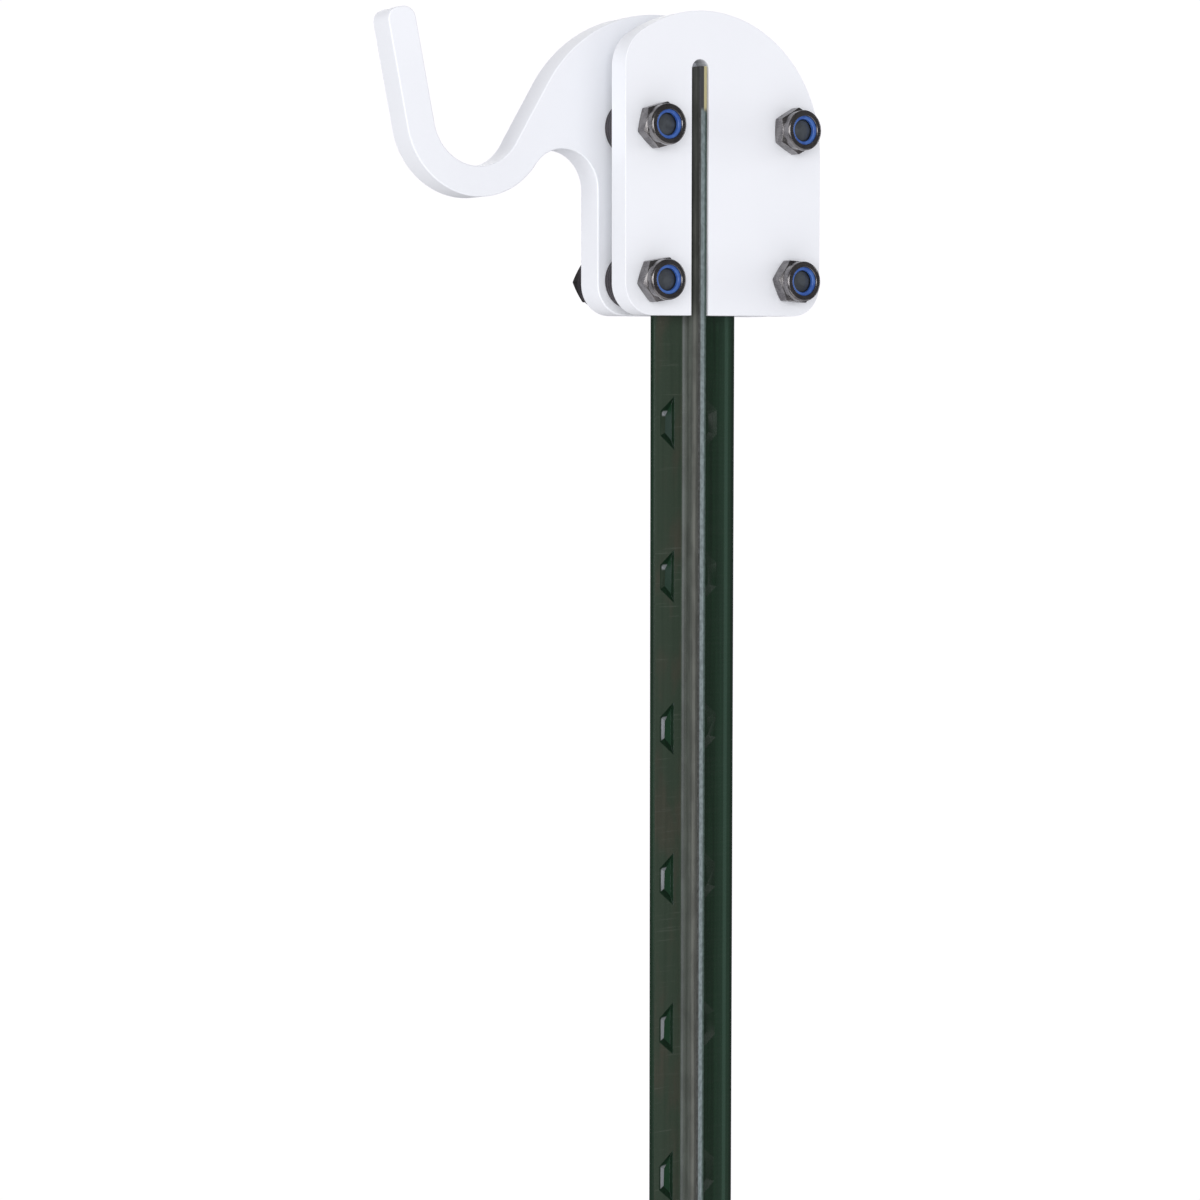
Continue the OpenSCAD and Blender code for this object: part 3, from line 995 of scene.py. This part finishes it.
SPACER = PlatedFinish(
    "dark_spacer_tube", colour=(0.035, 0.03, 0.036), second=(0.055, 0.047, 0.055), roughness=0.46,
    metallic=0.3, grain_scale=1800.0, patch_scale=160.0, bump=0.2, bump_height=0.04 * MM,
    rubbed=(0.16, 0.15, 0.16), wear_amount=0.4,
)


# ---------------------------------------------------------------- pieces


@dataclass
class Maker:
    """What every sub-assembly shares: the effects, the finishes made so far and how a piece is handed in."""

    effects: Effects
    materials: dict[str, bpy.types.Material] = field(default_factory=dict)

    def hand_in(self, piece: Piece, node: str, finish: Finish, slot: str) -> None:
        """Dresses a piece and lets it stand for a CAD node on that node's body.

        Args:
            piece: the finished piece.
            node: the CAD node it stands for.
            finish: its finish.
            slot: the record's material slot; not used.
        """
        if finish.name not in self.materials:
            self.materials[finish.name] = finish.material(self.effects)
        piece.data.materials.clear()
        piece.data.materials.append(self.materials[finish.name])
        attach(piece, frame["nodes"][node]["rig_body"])
        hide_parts(node)
        LOG.info("%s stands for %s, %d faces", piece.name, node, len(piece.data.polygons))


@dataclass
class Post:
    """The T-post with its studs and pressed dents, the anchor plate and its rivets."""

    maker: Maker
    dent_depth: float = 1.3 * MM
    dent_outer: float = 11.8 * MM
    dent_inner: float = 6.0 * MM
    near: float = 0.1 * MM
    edge: float = 0.35 * MM
    anchor_edge: float = 0.7 * MM
    rivet_head: float = 9.4
    rivet_rise: float = 2.6
    rivet_shank: float = 5.9

    def build(self) -> None:
        """Builds and hands in every piece of the post."""
        self.post()
        self.anchor()
        self.rivets()

    def post(self) -> None:
        """Shapes the post: the corners of the dents' floors are drawn in, so that their walls slope.

        The shifts are given in millimetres for the outer or inner, upper or lower corner: inwards and up.
        """
        piece = merged_copy("t_post", "post_rolled")
        shifts = {
            (True, True): (2.9, -1.5), (True, False): (2.7, 0.9),
            (False, True): (0.4, -2.4), (False, False): (0.4, 3.2),
        }
        with editing(piece):
            for side in (-1, 1):
                for (outer, upper), (inward, rise) in shifts.items():
                    reach = self.dent_outer if outer else self.dent_inner

                    at = Vector((side * reach, self.dent_depth))
                    pick(piece, "VERT", lambda corner, at=at, upper=upper: (
                        (corner.co.xy - at).length < self.near and self.above(corner.co.z) == upper))
                    towards = -side * inward * MM if outer else side * inward * MM
                    bpy.ops.transform.translate(value=(towards, 0, rise * MM))
        soften(piece, self.edge, segments=2, angle=25.0)
        self.maker.hand_in(piece, "t_post", ENAMEL, "post_paint")

    def above(self, height: float) -> bool:
        """Whether a height is above the middle of the nearest stud."""
        steps = (POST_TOP - STUD_DROP - height) / STUD_PITCH
        return round(steps) > steps

    def anchor(self) -> None:
        """Softens the anchor plate's sheared edges."""
        piece = merged_copy("anchor_plate", "anchor_spade")
        soften(piece, self.anchor_edge, segments=2)
        self.maker.hand_in(piece, "anchor_plate", ENAMEL, "post_paint")

    def rivets(self) -> None:
        """Turns one rivet with two domed heads and copies it to the four places."""
        low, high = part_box("rivet_upper_left")
        grip = (high.y - low.y) / MM - 2 * self.rivet_rise
        radius = self.rivet_head / 2
        dome = [(math.cos(a), math.sin(a)) for a in (math.radians(k * 15) for k in range(1, 6))]
        upper = [(radius * c, grip + self.rivet_rise * s) for c, s in dome]
        lower = [(radius * c, -self.rivet_rise * s) for c, s in reversed(dome)]
        rim, neck = radius * 0.99, self.rivet_shank / 2
        shank = [(rim, 0.0), (neck, 0.0), (neck, grip), (rim, grip)]
        model = turned("rivet_model", [*lower, *shank, *upper], bored=False, sides=40)
        for level in Level:
            for side in Side:
                name = f"{level.value}_{side.value}"
                piece = copy_of(model, f"rivet_domed_{name}")
                spot = middle(f"rivet_{name}")
                spot.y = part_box(f"rivet_{name}")[1].y - self.rivet_rise * MM
                place(piece, spot, Facing.FRONT)
                shade(piece)
                self.maker.hand_in(piece, f"rivet_{name}", ENAMEL, "post_paint")
        bpy.data.objects.remove(model)


@dataclass
class BracketPlates:
    """The two powder-coated plates, cut from thick plate with eased edges."""

    maker: Maker
    edge: float = 0.5 * MM

    def build(self) -> None:
        """Builds and hands in both plates."""
        for node, name in (("hook_plate", "plate_with_hook"), ("slotted_plate", "plate_with_slot")):
            piece = merged_copy(node, name)
            soften(piece, self.edge)
            self.maker.hand_in(piece, node, POWDER, "plate_coat")


@dataclass
class Fasteners:
    """Bolts, locknuts, their nylon rings and the spacers, one of each modelled and then copied.

    Sizes are in millimetres, and turns in degrees.
    """

    maker: Maker
    across_flats: float = 14.3
    corner_share: float = 0.62
    corner_break: float = 0.3
    chamfer_face: float = 0.96
    clear: float = 0.2
    bolt: float = 9.5
    bolt_end_chamfer: float = 0.9
    bolt_edge: float = 0.16
    head: float = 6.0
    nut: float = 8.8
    nut_hexagon: float = 5.2
    nut_edge: float = 0.12
    collar: float = 14.1
    collar_roll: float = 0.85
    neck_in: float = 0.25
    neck_run: float = 0.35
    bore_gap: float = 0.05
    bore_chamfer: float = 0.6
    ring_seat: float = 5.7
    ring: float = 2.3
    ring_outer: float = 12.0
    ring_hole: float = 7.8
    ring_rim: float = 0.45
    lip: float = 10.0
    lip_chamfer: float = 0.25
    bolt_short: float = 2.2
    spacer_bore: float = 10.3
    spacer_ease: float = 0.5
    tool_ring: float = 1.5
    tool_ring_half: float = 0.12
    tool_ring_depth: float = 0.06
    nut_turns: dict[str, float] = field(default_factory=lambda: {
        "lower_left": 10.0, "upper_left": 17.0, "lower_right": -5.0, "upper_right": 30.0})
    head_turns: dict[str, float] = field(default_factory=lambda: {
        "lower_left": 0.0, "upper_left": 22.0, "lower_right": 41.0, "upper_right": 8.0})

    def build(self) -> None:
        """Builds and hands in every fastener."""
        names = [f"{level.value}_{side.value}" for level in Level for side in Side]
        nut, ring = self.nut_model(), self.ring_model()
        low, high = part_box("bolt_upper_left")
        bolt = self.bolt_model((high.y - low.y) / MM - self.head)
        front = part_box("slotted_plate")[0].y
        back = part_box("rear_spacer_upper_left")[1].y
        for name in names:
            spot = middle(f"locknut_{name}")
            spot.y = front
            piece = copy_of(nut, f"nut_collared_{name}")
            place(piece, spot, Facing.FRONT, self.nut_turns[name])
            self.maker.hand_in(piece, f"locknut_{name}", NUT_ZINC, "nut_zinc")
            piece = copy_of(ring, f"nylon_ring_{name}")
            place(piece, spot, Facing.FRONT, self.nut_turns[name])
            self.maker.hand_in(piece, f"nylon_insert_{name}", NYLON, "insert_nylon")
            spot.y = back
            piece = copy_of(bolt, f"bolt_hex_{name}")
            place(piece, spot, Facing.BACK, self.head_turns[name])
            self.maker.hand_in(piece, f"bolt_{name}", BOLT_BLACK, "bolt_black")
            self.spacer(f"spacer_{name}")
            self.spacer(f"rear_spacer_{name}")
        for model in (nut, ring, bolt):
            bpy.data.objects.remove(model)

    def hexagon(self, name: str, height: float, both: bool) -> Piece:
        """Models a hexagon whose corners are turned off at one end or both.

        Args:
            name: the piece's name.
            height: height of the hexagon.
            both: whether the lower end is turned off too.

        Returns:
            The new piece, standing on Z = 0.
        """
        corner = self.across_flats / math.cos(math.radians(30)) / 2
        flat = self.across_flats / 2
        cut = (corner - flat) * self.corner_share
        face, wide = flat * self.chamfer_face, corner + self.clear
        clear_selection()
        bpy.ops.mesh.primitive_cylinder_add(
            vertices=6, radius=corner, depth=height, location=(0, 0, height / 2)
        )
        piece = bpy.context.object
        piece.name = piece.data.name = name
        settle()
        take(piece)
        bpy.ops.transform.rotate(value=math.radians(30), orient_axis="Z", center_override=(0, 0, 0))
        settle()
        with editing(piece):
            pick(piece, "EDGE", lambda edge: abs(edge.verts[0].co.z - edge.verts[1].co.z) > height / 2)
            bpy.ops.mesh.bevel(offset=self.corner_break, segments=2, affect="EDGES")
        foot = [(face, 0.0), (wide, cut)] if both else [(wide, -0.5)]
        head = [(wide, height - cut), (face, height)]
        combine(piece, turned("chamfer_tool", [*foot, *head], bored=False, sides=96), "INTERSECT")
        return piece

    def nut_model(self) -> Piece:
        """Models the locknut: hexagon, rolled collar, thread hole, ring seat and lip.

        Returns:
            The nut, standing on Z = 0.
        """
        piece = self.hexagon("nut_model", self.nut_hexagon, both=True)
        outer, top, roll = self.collar / 2, self.nut, self.collar_roll
        rolled = [
            (outer - roll + roll * math.cos(a), top - roll + roll * math.sin(a))
            for a in (math.radians(k * 15) for k in range(7))
        ]
        waist = outer - self.neck_in
        neck = [(waist, 0.6), (waist, self.nut_hexagon - 0.1), (outer, self.nut_hexagon + self.neck_run)]
        combine(piece, turned("collar_tool", [*neck, *rolled], bored=False, sides=96), "UNION")
        bore, seat = self.bolt / 2 + self.bore_gap, self.ring_outer / 2 + self.bore_gap
        end, lip = self.ring_seat + self.ring, self.lip / 2
        cut = [
            (bore + self.bore_chamfer + 0.1, -self.clear), (bore + self.bore_chamfer, 0.0),
            (bore, self.bore_chamfer), (bore, self.ring_seat), (seat, self.ring_seat), (seat, end),
            (lip, end), (lip, top - self.lip_chamfer), (lip + 0.3, top + self.clear),
        ]
        combine(piece, turned("bore_tool", cut, bored=False, sides=96), "DIFFERENCE")
        soften(piece, self.nut_edge, segments=2, angle=28.0)
        return piece

    def ring_model(self) -> Piece:
        """Turns the nylon ring: stepped bore, and a rounded rim around its uncut hole.

        Returns:
            The ring, at its height above the nut's foot.
        """
        seat, end = self.ring_seat, self.ring_seat + self.ring
        outer, hole, round_off = self.ring_outer / 2, self.ring_hole / 2, self.ring_rim
        taken = self.bolt / 2 + self.bore_gap
        step = self.nut - self.bolt_short + 0.1
        rim = [
            (hole + round_off - round_off * math.sin(a), end - round_off + round_off * math.cos(a))
            for a in (math.radians(k * 18) for k in range(6))
        ]
        profile = [(taken, seat), (outer, seat), (outer, end), *rim, (hole, step), (taken, step)]
        piece = turned("ring_model", profile, bored=True, sides=72)
        shade(piece)
        return piece

    def bolt_model(self, shank: float) -> Piece:
        """Models the bolt: hexagon head above Z = 0 and shank below it.

        Args:
            shank: length under the head.

        Returns:
            The bolt.
        """
        piece = self.hexagon("bolt_model", self.head, both=False)
        radius, chamfer = self.bolt / 2, self.bolt_end_chamfer
        face = radius - chamfer
        dome = [(0.3, 0.0), (0.62, 0.12), (0.86, 0.3), (1.0, 0.5)]
        rod = [(face * share, rise - shank) for share, rise in dome]
        rod += [(radius, -shank + chamfer + 0.4), (radius, 0.5)]
        combine(piece, turned("rod_tool", rod, bored=False, sides=64), "UNION")
        soften(piece, self.bolt_edge, segments=2, angle=28.0)
        return piece

    def spacer(self, node: str) -> None:
        """Turns one spacer tube with eased rims and faint tool rings, and hands it in.

        Args:
            node: the CAD node of the spacer.
        """
        low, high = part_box(node)
        length, outer = (high.y - low.y) / MM, (high.x - low.x) / 2 / MM
        bore, ease, half = self.spacer_bore / 2, self.spacer_ease, self.tool_ring_half
        rings = max(2, round(length / self.tool_ring))
        wall = []
        for k in range(1, rings):
            height = length * k / rings
            wall += [(outer, height - half), (outer - self.tool_ring_depth, height), (outer, height + half)]
        profile = [
            (bore, ease), (bore + ease, 0.0), (outer - ease, 0.0), (outer, ease), *wall,
            (outer, length - ease), (outer - ease, length), (bore + ease, length), (bore, length - ease),
        ]
        piece = turned(node.replace("spacer", "spacer_tube"), profile, bored=True, sides=72)
        spot = middle(node)
        spot.y = high.y
        place(piece, spot, Facing.FRONT)
        shade(piece)
        self.maker.hand_in(piece, node, SPACER, "spacer_black")


# ---------------------------------------------------------------- studio


@dataclass(frozen=True)
class Softbox:
    """A large soft lamp that looks at a point."""

    name: str
    spot: Triple
    width: float
    height: float
    power: float


@dataclass
class Studio:
    """Camera, soft lamps, white surroundings and a pale floor."""

    camera_spot: Triple = (-0.5436, -0.8675, 1.1191)
    azimuth: float = -30.31
    pitch: float = -4.885
    lens: float = 86.4
    sensor: float = 36.0
    target: Triple = (0.0, 0.0, 1.10)
    floor_radius: float = 1.6
    ambient: float = 0.62
    mirrored: float = 0.15
    backdrop: float = 1.05
    daylight: Colour = (0.985, 0.97, 1.0)
    lamps: tuple[Softbox, ...] = (
        Softbox("front_box", (-1.2, -1.75, 1.25), 1.5, 1.2, 21.0),
        Softbox("left_box", (-1.9, -0.25, 1.15), 0.5, 1.0, 6.0),
        Softbox("right_box", (1.7, -0.5, 1.3), 0.25, 1.2, 5.0),
        Softbox("rear_box", (0.6, 2.0, 1.7), 1.2, 1.2, 9.0),
    )

    def build(self) -> None:
        """Sets up the whole studio."""
        bpy.context.scene.view_settings.view_transform = "Standard"
        self.camera()
        self.surroundings()
        self.floor()
        for lamp in self.lamps:
            self.lamp(lamp)
        LOG.info("studio with %d soft lamps", len(self.lamps))

    def camera(self) -> None:
        """Adds the camera."""
        data = bpy.data.cameras.new("camera")
        data.lens, data.sensor_width = self.lens, self.sensor
        camera = bpy.data.objects.new("camera", data)
        camera.location = self.camera_spot
        camera.rotation_euler = (math.radians(90 + self.pitch), 0, math.radians(self.azimuth))
        bpy.context.scene.collection.objects.link(camera)
        bpy.context.scene.camera = camera

    def surroundings(self) -> None:
        """White surroundings, dimmer for soft light and dark for what polished metal mirrors."""
        world = bpy.data.worlds.new("studio")
        bpy.context.scene.world = world
        world.use_nodes = True
        tree = Tree(world.node_tree.nodes, world.node_tree.links)
        path = tree.add("ShaderNodeLightPath")
        background = world.node_tree.nodes["Background"]
        background.inputs["Color"].default_value = (*self.daylight, 1.0)
        soft = tree.step(path.outputs["Is Glossy Ray"], 0.0, 1.0, (self.ambient, self.mirrored))
        seen = tree.math("MULTIPLY", path.outputs["Is Camera Ray"], self.backdrop)
        strength = tree.math("MAXIMUM", soft, seen)
        tree.feed(background.inputs["Strength"], strength)

    def floor(self) -> None:
        """Adds a round pale floor."""
        clear_selection()
        bpy.ops.mesh.primitive_circle_add(vertices=96, radius=self.floor_radius, fill_type="NGON")
        floor = bpy.context.object
        floor.name = "floor"
        material = bpy.data.materials.new("pale_floor")
        material.use_nodes = True
        tree = Tree(material.node_tree.nodes, material.node_tree.links)
        shader = material.node_tree.nodes["Principled BSDF"]
        colour = tree.blend(tree.noise(6.0), (0.86, 0.86, 0.86), (0.9, 0.9, 0.9))
        tree.feed(shader.inputs["Base Color"], colour)
        shader.inputs["Roughness"].default_value = 0.9
        floor.data.materials.append(material)

    def lamp(self, lamp: Softbox) -> None:
        """Adds one soft lamp that looks at the target.

        Args:
            lamp: its place, size and power.
        """
        data = bpy.data.lights.new(lamp.name, "AREA")
        data.shape, data.size, data.size_y, data.energy = "RECTANGLE", lamp.width, lamp.height, lamp.power
        box = bpy.data.objects.new(lamp.name, data)
        box.location = lamp.spot
        aim = Vector(self.target) - Vector(lamp.spot)
        box.rotation_euler = aim.to_track_quat("-Z", "Y").to_euler()
        bpy.context.scene.collection.objects.link(box)


def main() -> None:
    """Builds the studio and every sub-assembly."""
    logging.basicConfig(level=logging.INFO, format="%(message)s", stream=sys.stdout)
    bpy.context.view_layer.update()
    clear_selection()
    Studio().build()
    maker = Maker(Effects())
    Post(maker).build()
    BracketPlates(maker).build()
    Fasteners(maker).build()


if __name__ == "__main__":
    main()
